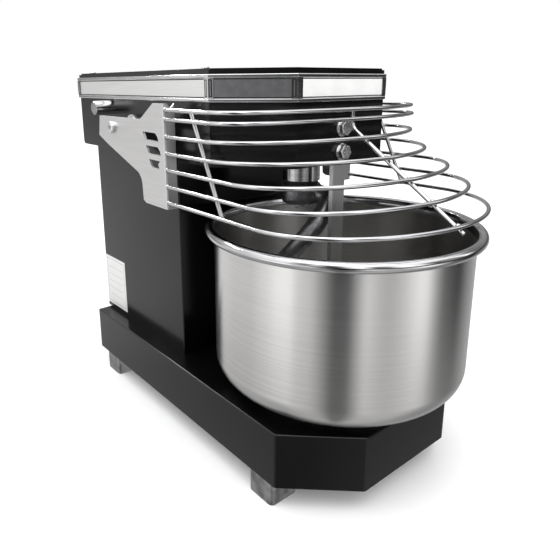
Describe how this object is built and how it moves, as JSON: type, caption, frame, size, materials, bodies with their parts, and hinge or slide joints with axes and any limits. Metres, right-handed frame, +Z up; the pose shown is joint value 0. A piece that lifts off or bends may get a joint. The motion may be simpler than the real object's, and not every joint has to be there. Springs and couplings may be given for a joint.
{
  "type": "spiral dough mixer",
  "caption": "Countertop spiral dough mixer: driven steel bowl, spiral hook beside a fixed breaker bar, lift-up wire guard, boxed column and head on cast feet.",
  "frame": {"origin": "on the table, under the middle of the machine's bounding box", "axes": "+X to the right when facing the machine from the bowl side, +Y from the bowl towards the rear, +Z up"},
  "size_m": [0.284, 0.5, 0.4018],
  "materials": {
    "black_paint": "gloss",
    "satin_stainless": "satin",
    "polished_stainless": "polished",
    "zinc_plated_steel": "semi-bright",
    "machined_steel": "turned",
    "cast_aluminium": "satin cast",
    "dark_cast_iron": "rough",
    "roller_chain": "oiled",
    "motor_paint": "matt",
    "black_rubber": "matt",
    "black_plastic": "matt",
    "printed_label": "matt film",
    "green_plastic": "gloss",
    "red_plastic": "gloss"
  },
  "bodies": {
    "mixer": {"base_shell": "black_paint", "bottom_plate": "black_paint", "feet": "cast_aluminium", "foot_screws": "zinc_plated_steel", "column_shell": "black_paint", "rear_cover": "black_paint", "cover_screws": "zinc_plated_steel", "head_shell": "black_paint", "head_plate": "machined_steel", "lid": "black_paint", "lid_screws": "zinc_plated_steel", "side_panels": "satin_stainless", "corner_panels": "satin_stainless", "front_panel": "satin_stainless", "rear_panel": "satin_stainless", "trim_rails": "polished_stainless", "trim_posts": "polished_stainless", "rating_plate": "printed_label", "stop_rods": "polished_stainless", "pivot_bushes": "zinc_plated_steel", "breaker_bar": "satin_stainless", "breaker_bolts": "zinc_plated_steel", "spindle_housing": "dark_cast_iron", "spindle_bearings": "machined_steel", "bowl_housing": "dark_cast_iron", "bowl_bearings": "machined_steel", "layshaft_bearings": "dark_cast_iron", "housing_bolts": "zinc_plated_steel", "motor_body": "motor_paint", "motor_bolts": "zinc_plated_steel", "drive_belt": "black_rubber", "spindle_chain": "roller_chain", "bowl_chain": "roller_chain", "capacitor": "cast_aluminium", "switch_plate": "satin_stainless", "contact_block": "black_plastic", "cable_gland": "black_rubber", "reed_sensor": "black_plastic"},
    "guard": {"guard_plate_left": "satin_stainless", "guard_plate_right": "satin_stainless", "guard_wires": "polished_stainless", "guard_struts": "polished_stainless", "guard_pins": "polished_stainless", "sensor_magnet": "black_plastic"},
    "bowl_drive": {"bowl": "satin_stainless", "bowl_disc": "cast_aluminium", "bowl_shaft": "machined_steel", "bowl_sprocket": "dark_cast_iron"},
    "spiral": {"spindle": "machined_steel", "spindle_sprocket": "dark_cast_iron", "hook": "dark_cast_iron", "hook_bolt": "zinc_plated_steel"},
    "layshaft": {"layshaft": "machined_steel", "driven_pulley": "dark_cast_iron", "upper_sprocket": "dark_cast_iron", "lower_sprocket": "dark_cast_iron"},
    "motor_rotor": {"motor_rotor": "machined_steel", "motor_pulley": "dark_cast_iron"},
    "start_button": {"start_button": "green_plastic"},
    "stop_button": {"stop_button": "red_plastic"}
  },
  "joints": [
    {"name": "guard_lift", "type": "hinge", "parent": "mixer", "child": "guard", "pos_m": [0, 0.1055, 0.3398], "axis": [-1, 0, 0], "range_deg": [0, 135]},
    {"name": "bowl_spin", "type": "hinge", "parent": "mixer", "child": "bowl_drive", "pos_m": [0, -0.1125, 0.0825], "axis": [0, 0, 1], "continuous": true},
    {"name": "spiral_spin", "type": "hinge", "parent": "mixer", "child": "spiral", "pos_m": [0, -0.054, 0.309], "axis": [0, 0, 1], "continuous": true},
    {"name": "layshaft_spin", "type": "hinge", "parent": "mixer", "child": "layshaft", "pos_m": [0.025, 0.081, 0.05], "axis": [0, 0, 1], "continuous": true},
    {"name": "rotor_spin", "type": "hinge", "parent": "mixer", "child": "motor_rotor", "pos_m": [-0.03, 0.165, 0.3], "axis": [0, 0, 1], "continuous": true},
    {"name": "start_press", "type": "slide", "parent": "mixer", "child": "start_button", "axis": [-1, 0, 0], "range_m": [0, 0.003], "stiffness_N_per_m": 300},
    {"name": "stop_press", "type": "slide", "parent": "mixer", "child": "stop_button", "axis": [-1, 0, 0], "range_m": [0, 0.003], "stiffness_N_per_m": 300}
  ],
  "couplings": [
    {"joint": "spiral_spin", "follows": "bowl_spin", "ratio": 3},
    {"joint": "layshaft_spin", "follows": "bowl_spin", "ratio": 6},
    {"joint": "rotor_spin", "follows": "bowl_spin", "ratio": 21}
  ]
}
